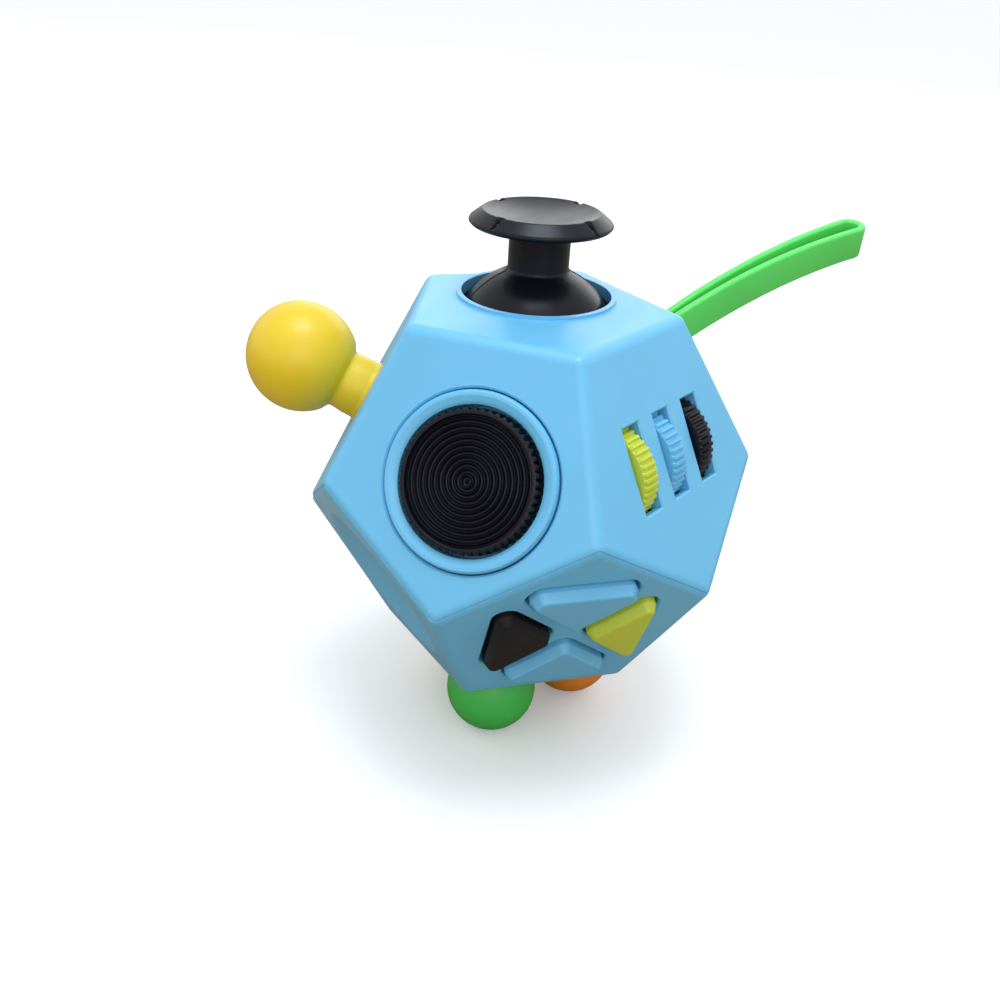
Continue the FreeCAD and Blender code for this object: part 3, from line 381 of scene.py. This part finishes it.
def dome_line(radius, z, angle):
    """Raises the fine mould line over the outside of the dome."""
    size = math.hypot(radius, z)
    if radius < POST_R + 0.05 or size < DOME_R - 0.3:
        return radius, z
    one_step = math.pi / JOYSTICK_STEPS * 1.01
    raised = DOME_LINE_H if off_plane(angle, DOME_LINE_AT) < one_step else 0.0
    return radius * (1 + raised / size), z * (1 + raised / size)


def make_dome(place):
    dome_top = math.degrees(math.acos((POST_R + POST_FLARE) / DOME_R))
    outer = arc(0, 0, DOME_R, dome_top, DOME_SKIRT, 40)
    inner = arc(0, 0, DOME_R - DOME_WALL, DOME_SKIRT, DOME_ROOF, 20)
    ball = arc(0, 0, PIVOT_BALL_R, 55, -90, 16)
    foot_z = outer[0][1]
    post = soften([(PEG_R, PEG_TOP_Z), (PEG_R, CAP_UNDER_Z), (POST_R, CAP_UNDER_Z), (POST_R, foot_z + 0.5),
                   (POST_R + POST_FLARE, foot_z)], [0, 0, 0, POST_FILLET, 0], 8)
    stem = [(STEM_R, STEM_TOP_Z), (STEM_R, STEM_END_Z)]
    profile = [(0, PEG_TOP_Z)] + post[:-1] + outer + inner + stem + ball
    dome = lathe("joystick_dome_finish", profile, place, JOYSTICK_STEPS, dome_line)
    finish_piece(dome, "black_gloss", "joystick", "joystick_dome")


def notched(radius, z, angle):
    """Cuts the notches into the cap's slope, from the dish's edge nearly to the rim."""
    if z < RIM_Z or not DISH_R - 0.5 < radius < CAP_R - 0.1:
        return radius, z
    along = (radius - DISH_R + 0.5) / (CAP_R - DISH_R + 0.4)
    taper = 1 - NOTCH_TAPER * along
    half_width = NOTCH_HALF_W * taper
    for i in range(NOTCHES):
        away = angle - NOTCH_FIRST - math.tau * i / NOTCHES
        across = abs(radius * math.sin(away))
        if across < half_width and math.cos(away) > 0:
            return radius, z - NOTCH_DEPTH * taper * min(1, 2 - 2 * across / half_width)
    return radius, z


def make_cap(place):
    dish = []
    for i in range(1, DISH_STEPS + 1):
        r = (DISH_R - DISH_EDGE) * (1 - i / DISH_STEPS)
        dish.append((r, CAP_TOP_Z - DISH_DROP + DISH_SPHERE_R - math.sqrt(DISH_SPHERE_R ** 2 - r * r)))
    low_r = CAP_R - CAP_EDGE
    low_z = RIM_Z + 0.35
    slope = []
    for i in range(SLOPE_STEPS):
        t = i / SLOPE_STEPS
        slope.append((low_r + (DISH_R + CREST_W - low_r) * t, low_z + (CAP_TOP_Z - low_z) * t))
    side = soften([(POST_R, CAP_UNDER_Z), (CAP_HUB_R, CAP_UNDER_Z + 0.2), (CAP_R - 0.35, RIM_Z - 0.4),
                   (CAP_R, RIM_Z - 0.05), (CAP_R - 0.02, RIM_Z + 0.15)], [0, 1.0, 0.2, 0.2, 0], 4)
    crest = soften([slope[-1], (DISH_R + 0.15, CAP_TOP_Z), (DISH_R - 0.1, CAP_TOP_Z), dish[0]], 0.12, 4)
    profile = [(0, CAP_UNDER_Z)] + side + slope[:-1] + crest[:-1] + dish
    cap = lathe("joystick_cap_finish", profile, place, JOYSTICK_STEPS, notched, smooth=30)
    finish_piece(cap, "black_gloss", "joystick", "joystick_cap")


def make_joystick():
    place = face_frame("T", at=JOINTS["joystick_fore_tilt"]["pos_m"])
    make_dome(place)
    make_cap(place)


# --- dial -------------------------------------------------------------------------------------------
DIAL_R = 9.15
DIAL_TOP = 1.15
DIAL_UNDER = -2.1
DIAL_TEETH = 54
DIAL_TOOTH = 0.45
DIAL_TOOTH_STEPS = 10
DIAL_ROOT_R = DIAL_R - DIAL_TOOTH
DIAL_RIDGES = 10
DIAL_RIDGE_STEPS = 10
DIAL_PITCH = 0.77
DIAL_GROOVE = 0.48
TOOTH_HOLLOW = 1.3                 # above 1, the teeth's flanks are hollow
RIDGE_HOLLOW = 1.9                 # above 1, the ridges are narrower than the grooves

BEZEL_R = 11.35
BEZEL_TOP = 0.55
BEZEL_FLANGE_R = 12.15
BEZEL_FLANGE_TOP = -2.0
BEZEL_UNDER = -3.6
BEZEL_BORE_R = 2.05
WELL_R = 9.5
WELL_FLOOR = -2.4


def toothed(radius, z, angle):
    """Cuts the dial's teeth into whatever is outside their roots."""
    if radius <= DIAL_ROOT_R:
        return radius, z
    turn = (angle * DIAL_TEETH / math.tau) % 1.0
    tooth = abs(2 * turn - 1) ** TOOTH_HOLLOW
    return radius - (radius - DIAL_ROOT_R) * tooth, z


def dial_face():
    """The ridged face, from its outermost groove to the middle."""
    outermost = (DIAL_RIDGES + 0.5) * DIAL_PITCH
    face = []
    for i in range(DIAL_RIDGES * DIAL_RIDGE_STEPS + DIAL_RIDGE_STEPS // 2):
        r = outermost - i * DIAL_PITCH / DIAL_RIDGE_STEPS
        crest = (0.5 + 0.5 * math.cos(math.tau * r / DIAL_PITCH)) ** RIDGE_HOLLOW
        face.append((r, DIAL_TOP - DIAL_GROOVE * (1 - crest)))
    return face + [(0, DIAL_TOP)]


def make_dial():
    place = face_frame("U0", at=JOINTS["dial_spin"]["pos_m"])
    face = dial_face()
    side = soften([(DIAL_R, DIAL_UNDER), (DIAL_R, DIAL_TOP - 0.4), (DIAL_ROOT_R + 0.1, DIAL_TOP - 0.08),
                   (face[0][0] + 0.2, DIAL_TOP), face[0]], [0, 0.15, 0.1, 0.1, 0], 3)
    profile = [(0, DIAL_UNDER)] + side[:-1] + face
    knob = lathe("dial_knob_finish", profile, place, DIAL_TEETH * DIAL_TOOTH_STEPS, toothed, smooth=35)
    finish_piece(knob, "black_gloss", "dial", "dial_knob")

    ring = soften([(BEZEL_BORE_R, BEZEL_UNDER), (BEZEL_FLANGE_R, BEZEL_UNDER),
                   (BEZEL_FLANGE_R, BEZEL_FLANGE_TOP), (BEZEL_R, BEZEL_FLANGE_TOP), (BEZEL_R, 0.1),
                   (BEZEL_R - 0.25, BEZEL_TOP), (BEZEL_R - 0.75, BEZEL_TOP), (WELL_R + 0.4, 0.3),
                   (WELL_R, 0.1), (WELL_R, WELL_FLOOR), (BEZEL_BORE_R, WELL_FLOOR)],
                  [0, 0.1, 0.1, 0.1, 0.3, 0.25, 0.3, 0.5, 0.15, 0.1, 0], 5, closed=True)
    bezel = lathe("dial_bezel_finish", ring, place, 192, loop=True)
    finish_piece(bezel, "shell", "body", "dial_bezel")


# --- thumb wheels -----------------------------------------------------------------------------------
WHEEL_R = 6.8
WHEEL_W = 3.0
WHEEL_BORE_R = 1.05
WHEEL_EDGE = 0.25
WHEEL_RIBS = 44
WHEEL_RIB_STEPS = 16
RIB_HEIGHT = 0.38
RIB_HALF = 0.33                    # half of a rib's foot and the width of its flank, as parts of the pitch
RIB_FLANK = 0.12
WHEEL_ROOT_R = WHEEL_R - RIB_HEIGHT


def ribbed(radius, z, angle):
    """Leaves ribs on whatever of a wheel is outside their roots."""
    if radius <= WHEEL_ROOT_R:
        return radius, z
    turn = (angle * WHEEL_RIBS / math.tau) % 1.0
    rib = min(1.0, max(0.0, (RIB_HALF - abs(turn - 0.5)) / RIB_FLANK))
    return WHEEL_ROOT_R + (radius - WHEEL_ROOT_R) * rib, z


def make_wheels():
    half = WHEEL_W / 2
    line = soften([(WHEEL_BORE_R, -half), (WHEEL_ROOT_R - 0.05, -half), (WHEEL_R, WHEEL_EDGE - half),
                   (WHEEL_R, half - WHEEL_EDGE), (WHEEL_ROOT_R - 0.05, half), (WHEEL_BORE_R, half)],
                  0.1, 3, closed=True)
    upright = Matrix(((0, 0, 1, 0), (1, 0, 0, 0), (0, 1, 0, 0), (0, 0, 0, 1)))
    for colour, slot in (("green", "lime_plastic"), ("blue", "blue_plastic"), ("black", "black_gloss")):
        place = face_frame("U1", at=JOINTS[f"wheel_{colour}_spin"]["pos_m"]) @ upright
        wheel = lathe(f"thumb_wheel_{colour}_finish", line, place, WHEEL_RIBS * WHEEL_RIB_STEPS, ribbed,
                      loop=True, smooth=30)
        finish_piece(wheel, slot, f"wheel_{colour}", f"thumb_wheel_{colour}")


# --- keys -------------------------------------------------------------------------------------------
PAD_AT = (0.2, 0.2)
KEY_TALL = [(0, 1.7), (7.7, 9.4), (6.3, 12.0), (-6.3, 12.0), (-7.7, 9.4)]
KEY_WIDE = [(0, 1.7), (9.3, 11.0), (-9.3, 11.0)]
KEY_CORNER = 1.6
KEY_LEAST_CORNER = 0.15

# a key's side from its flange to its top: how far it is inside the outline, and its height
KEY_SIDE = [(-0.6, -3.5), (-0.6, -2.3), (0.2, -2.3), (0.2, 0.4), (0.85, 1.7), (1.5, 1.7)]
KEY_SIDE_ROUNDING = [0, 0, 0, 0.5, 0.45, 0]


def moved_in(points, distance):
    """A closed outline, anticlockwise, with every side moved inward."""
    count = len(points)
    lines = []
    for i in range(count):
        start, end = Vector(points[i]), Vector(points[(i + 1) % count])
        along = (end - start).normalized()
        normal = Vector((along.y, -along.x))
        lines.append((normal, normal.dot(start) - distance))
    corners = []
    for i in range(count):
        (a, c), (b, d) = lines[i - 1], lines[i]
        det = a.x * b.y - a.y * b.x
        corners.append(Vector(((c * b.y - d * a.y) / det, (d * a.x - c * b.x) / det)))
    return corners


def stack(name, points, corner, levels, place):
    """A block with a rounded outline, whose side follows (inset, z) levels from bottom to top."""
    rings = []
    for inset, z in levels:
        rounding = max(KEY_LEAST_CORNER, corner - inset)
        outline = soften(moved_in(points, inset), rounding, 8, closed=True)
        rings.append([Vector((p.x, p.y, z)) for p in outline])
    return skin(name, rings, place, smooth=50)


def make_keys():
    place = face_frame("L0", *PAD_AT)
    levels = soften(KEY_SIDE, KEY_SIDE_ROUNDING, 5)
    keys = (("top", KEY_TALL, "blue_plastic"), ("left", KEY_WIDE, "black_matte"),
            ("bottom", KEY_TALL, "blue_plastic"), ("right", KEY_WIDE, "lime_plastic"))
    for i, (side, outline, slot) in enumerate(keys):
        turn = Matrix.Rotation(math.pi / 2 * i, 4, "Z")
        key = stack(f"key_{side}_finish", outline, KEY_CORNER, levels, place @ turn)
        finish_piece(key, slot, f"key_{side}", f"button_{side}")


# --- ball stick and feet ----------------------------------------------------------------------------
BALL_STEPS = 256
MOULD_LINE_HALF = 0.012            # half of a mould line's width, in radians about the axis
STALK_R = 4.3
STALK_Z = 2.0                      # where the stalk is clear of its fillet at the face
STALK_DRAFT = 0.02                 # how much thinner each of its rings is than the last
STALK_RINGS = 7
BALL_R = 7.7
BALL_Z = 10.2
BALL_NECK = 9                      # degrees of the ball that the fillet at the stalk takes up
BALL_LINE = (math.radians(105), 0.06)      # the direction and the height of its mould line
PLUG_R = 4.9
PLUG_FLANGE_R = 6.6
FOOT_R = 6.7
FOOT_LINE = (math.radians(40), 0.05)
FOOT_PLUG_R = 4.0
FOOT_NECK_R = 3.0
FOOT_NECK_Z = 0.15
FOOT_CIRCLE_R = 9.3
FOOT_AZIMUTHS = {"green": -90.0, "orange": 30.0, "yellow": 150.0}


def flashed(plane, height, centre_z, radius):
    """A shape function that raises a fine mould line over a ball along one plane."""
    def shape(r, z, angle):
        on_ball = r >= 0.5 and math.hypot(r, z - centre_z) >= radius - 0.05
        if not on_ball or off_plane(angle, plane) > MOULD_LINE_HALF:
            return r, z
        grow = 1 + height / radius
        return r * grow, centre_z + (z - centre_z) * grow
    return shape


def make_ball_stick():
    place = face_frame("U4")
    neck_z = BALL_Z - math.sqrt(BALL_R ** 2 - STALK_R ** 2)
    start = math.degrees(math.atan2(neck_z - BALL_Z, STALK_R)) + BALL_NECK
    plug = soften([(0, -5.4), (PLUG_R, -5.4), (PLUG_R, -3.6), (PLUG_FLANGE_R, -3.6), (PLUG_FLANGE_R, -2.0),
                   (PLUG_R, -2.0), (PLUG_R, -0.9), (STALK_R, 0.5), (STALK_R, STALK_Z)],
                  [0, 0.3, 0, 0.3, 0.3, 0, 0.5, 0.8, 0], 4)
    rise = (neck_z - 0.3 - STALK_Z) / (STALK_RINGS + 1)
    stalk = [(STALK_R - STALK_DRAFT * i, STALK_Z + rise * i) for i in range(1, STALK_RINGS + 1)]
    ball = arc(0, BALL_Z, BALL_R, start, 90, 48)
    ball[-1] = (0, BALL_Z + BALL_R)
    fillet = soften([stalk[-1], (STALK_R - 0.15, neck_z + 0.1), ball[0]], [0, 1.6, 0], 6)
    profile = plug + stalk[:-1] + fillet[:-1] + ball
    stick = lathe("ball_stick_silicone", profile, place, BALL_STEPS, flashed(*BALL_LINE, BALL_Z, BALL_R))
    finish_piece(stick, "yellow_silicone", None, "ball_stick", "ball_stick_root")
    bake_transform(stick)


def make_feet():
    base = face_frame("B")
    reach = (MOUNTS["rest_plane"]["pos_m"][2] - (CENTRE.z - IN_RADIUS)) / -MM
    ball_z = reach - FOOT_R
    start = math.degrees(math.asin((FOOT_NECK_Z - ball_z) / FOOT_R))
    neck = soften([(0, -3.2), (FOOT_PLUG_R, -3.2), (FOOT_PLUG_R, -2.0), (FOOT_NECK_R, -2.0),
                   (FOOT_NECK_R, FOOT_NECK_Z)], [0, 0.2, 0.2, 0, 0], 3)
    ball = arc(0, ball_z, FOOT_R, start, 90, 44)
    rim = soften([neck[-1], ball[0], ball[2]], [0, 0.35, 0], 5)
    profile = neck[:-1] + rim + ball[3:-1] + [(0, ball_z + FOOT_R)]
    for colour, azimuth in FOOT_AZIMUTHS.items():
        spot = polar(FOOT_CIRCLE_R, math.radians(azimuth))
        place = base @ Matrix.Translation((-spot.x, spot.y, 0))
        foot = lathe(f"foot_{colour}_silicone", profile, place, BALL_STEPS,
                     flashed(*FOOT_LINE, ball_z, FOOT_R))
        finish_piece(foot, f"{colour}_silicone", "body", f"foot_{colour}")


# --- wrist strap ------------------------------------------------------------------------------------
STRAP_Y = 6.0
STRAP_W = 5.0
STRAP_EDGE_R = 0.4
STRAP_REACH = 43.3
STRAP_DROOP = math.radians(10)
STRAP_TWIST = math.radians(8)
STRAP_BEND_R = STRAP_REACH / (2 * math.sin(STRAP_DROOP))
STRAP_TIP_R = 1.8
STRAP_TIP_Z = STRAP_REACH * math.cos(STRAP_DROOP) - STRAP_TIP_R
STRAP_TIP_HALF_T = 0.6
STRAP_PIN_Z = -4.0
STRAP_EYE_R = 1.3
STRAP_EYE_HALF_T = 0.45
STRAP_SPACING = 0.8                # between the rings of the band

# one strand from the eye toward the tip: how far out its middle line is, how far that line is from the
# middle of the loop, and half of the band's thickness
STRAP_STRAND = [(-3.3, 1.1, 0.45), (-2.2, 0.72, 0.62), (0.0, 0.70, 0.68), (1.6, 0.76, 0.64),
                (6.0, 0.95, 0.60), (STRAP_TIP_Z, STRAP_TIP_R, STRAP_TIP_HALF_T)]


def strap_line():
    """The loop's middle line in its own plane, with the band's half thickness at each point."""
    stations = [STRAP_STRAND[0]]
    for low, high in zip(STRAP_STRAND, STRAP_STRAND[1:]):
        count = max(3, int((high[0] - low[0]) / STRAP_SPACING))
        for i in range(1, count + 1):
            stations.append(tuple(a + (b - a) * i / count for a, b in zip(low, high)))
    strand = [(Vector((x, z)), t) for z, x, t in stations]
    other = [(Vector((-point.x, point.y)), t) for point, t in reversed(strand)]
    tip = [(Vector(p), STRAP_TIP_HALF_T) for p in arc(0, STRAP_TIP_Z, STRAP_TIP_R, 0, 180, 24)[1:-1]]
    eye = [(Vector(p), STRAP_EYE_HALF_T) for p in arc(0, STRAP_PIN_Z, STRAP_EYE_R, 150, 390, 20)]
    return strand + tip + other + eye


def bowed(x, y, z):
    """Where a point of the straight strap goes: outside the body the strap twists and droops."""
    if z <= 0:
        return Vector((x, y, z))
    turn = STRAP_TWIST * (z / STRAP_REACH) ** 2
    across = x * math.cos(turn) - y * math.sin(turn)
    from_bend = STRAP_BEND_R + x * math.sin(turn) + y * math.cos(turn)
    fall = math.asin(z / STRAP_BEND_R)
    return Vector((across, from_bend * math.cos(fall) - STRAP_BEND_R, from_bend * math.sin(fall)))


def make_strap():
    place = face_frame("U2", 0, STRAP_Y)
    half_w = STRAP_W / 2
    line = strap_line()
    rings = []
    for i, (point, half_t) in enumerate(line):
        section = soften([(-half_w, -half_t), (half_w, -half_t), (half_w, half_t), (-half_w, half_t)],
                         STRAP_EDGE_R, 4, closed=True)
        along = (line[(i + 1) % len(line)][0] - line[i - 1][0]).normalized()
        normal = Vector((along.y, -along.x))
        ring = []
        for w, t in section:
            x, z = point + normal * t
            ring.append(bowed(x, w, z))
        rings.append(ring)
    strap = skin("wrist_strap_silicone", rings, place, smooth=60, loop=True)
    finish_piece(strap, "strap_silicone", "body", "wrist_strap")


# --- the faces that look away: rocker, slider, roller ball -------------------------------------------
def make_small_controls():
    for node, name, body, edge in (("rocker_frame", "rocker_frame_finish", "body", 0.3),
                                   ("rocker_switch", "rocker_switch_finish", "rocker", 0.35),
                                   ("slider_knob", "slider_knob_finish", "slider", 0.15),
                                   ("roller_ring", "roller_ring_finish", "body", 0.15)):
        finish_piece(finished_copy(node, name, edge), SLOT_OF[node], body)


# --- stage ------------------------------------------------------------------------------------------
FLOOR_HALF = 12.0                  # metres
FLOOR_COLOUR = (0.88, 0.88, 0.88, 1)
FLOOR_BOUNCE = (0.31, 0.25, 0.18, 1)
FLOOR_GLOW = 0.12
WORLD_COLOUR = (0.96, 0.98, 1.0, 1)
WORLD_STRENGTH = 0.98

CAMERA_EYE = Vector((0.0436, -0.1291, 0.1079))
CAMERA_AZIMUTH = math.radians(20.11)
CAMERA_FALL = math.radians(28.41)
CAMERA_ROLL = math.radians(3.32)
CAMERA_LENS = 37.68


def floor_surface():
    """A pale floor: white to the camera, but dimmer in the light that it throws back on the toy."""
    material = bpy.data.materials.new("pale_floor")
    material.use_nodes = True
    tree = material.node_tree
    shader = tree.nodes["Principled BSDF"]
    path = tree.nodes.new("ShaderNodeLightPath")
    mix = tree.nodes.new("ShaderNodeMix")
    mix.data_type = "RGBA"
    mix.inputs["A"].default_value = FLOOR_BOUNCE
    mix.inputs["B"].default_value = FLOOR_COLOUR
    link(tree, path.outputs["Is Camera Ray"], mix.inputs["Factor"])
    link(tree, mix.outputs["Result"], shader.inputs["Base Color"])
    shader.inputs["Roughness"].default_value = 0.8
    shader.inputs["Specular IOR Level"].default_value = 0.1
    shader.inputs["Emission Color"].default_value = (1, 1, 1, 1)
    glow = spread(tree, path.outputs["Is Camera Ray"], 0.0, FLOOR_GLOW, 0.0, 1.0)
    link(tree, glow, shader.inputs["Emission Strength"])
    return material


def make_floor():
    mesh = bpy.data.meshes.new("floor")
    half = FLOOR_HALF
    corners = [(-half, -half, 0), (half, -half, 0), (half, half, 0), (-half, half, 0)]
    mesh.from_pydata(corners, [], [(0, 1, 2, 3)])
    floor = bpy.data.objects.new("floor", mesh)
    bpy.context.scene.collection.objects.link(floor)
    mesh.materials.append(floor_surface())


def make_light(name, size, power, away, colour=(1, 1, 1)):
    """A rectangular light that looks at the middle of the body."""
    data = bpy.data.lights.new(name, "AREA")
    data.shape = "RECTANGLE"
    data.size, data.size_y = size
    data.energy = power
    data.color = colour
    light = bpy.data.objects.new(name, data)
    bpy.context.scene.collection.objects.link(light)
    light.location = CENTRE + Vector(away)
    light.rotation_euler = (-Vector(away)).to_track_quat("-Z", "Y").to_euler()


def make_lights():
    world = bpy.data.worlds.new("studio")
    world.use_nodes = True
    world.node_tree.nodes["Background"].inputs["Color"].default_value = WORLD_COLOUR
    world.node_tree.nodes["Background"].inputs["Strength"].default_value = WORLD_STRENGTH
    bpy.context.scene.world = world
    make_light("top", (0.26, 0.26), 1.8, (0.02, -0.04, 0.6), (0.78, 0.88, 1.0))
    make_light("key", (0.5, 0.5), 1.0, (0.30, -0.62, 0.38))
    make_light("back", (1.0, 0.5), 1.6, (-0.1, 0.9, 0.30))


def make_camera():
    data = bpy.data.cameras.new("camera")
    data.lens = CAMERA_LENS
    data.clip_start = 0.005
    camera = bpy.data.objects.new("camera", data)
    bpy.context.scene.collection.objects.link(camera)
    flat = math.cos(CAMERA_FALL)
    across, along = flat * math.sin(CAMERA_AZIMUTH), -flat * math.cos(CAMERA_AZIMUTH)
    back = Vector((across, along, math.sin(CAMERA_FALL)))
    right = Vector((0, 0, 1)).cross(back).normalized()
    turn = Matrix((right, back.cross(right), back)).transposed().to_4x4()
    camera.matrix_world = Matrix.Translation(CAMERA_EYE) @ turn @ Matrix.Rotation(CAMERA_ROLL, 4, "Z")
    bpy.context.scene.camera = camera


def make_scene():
    make_camera()
    make_lights()
    make_floor()
    make_joystick()
    make_dial()
    make_wheels()
    make_keys()
    make_ball_stick()
    make_feet()
    make_strap()
    make_small_controls()
    for name, node in NODES.items():
        node.data.materials.clear()
        node.data.materials.append(MATERIALS[SLOT_OF[name]])
    bpy.context.scene.view_settings.view_transform = "Standard"


make_scene()
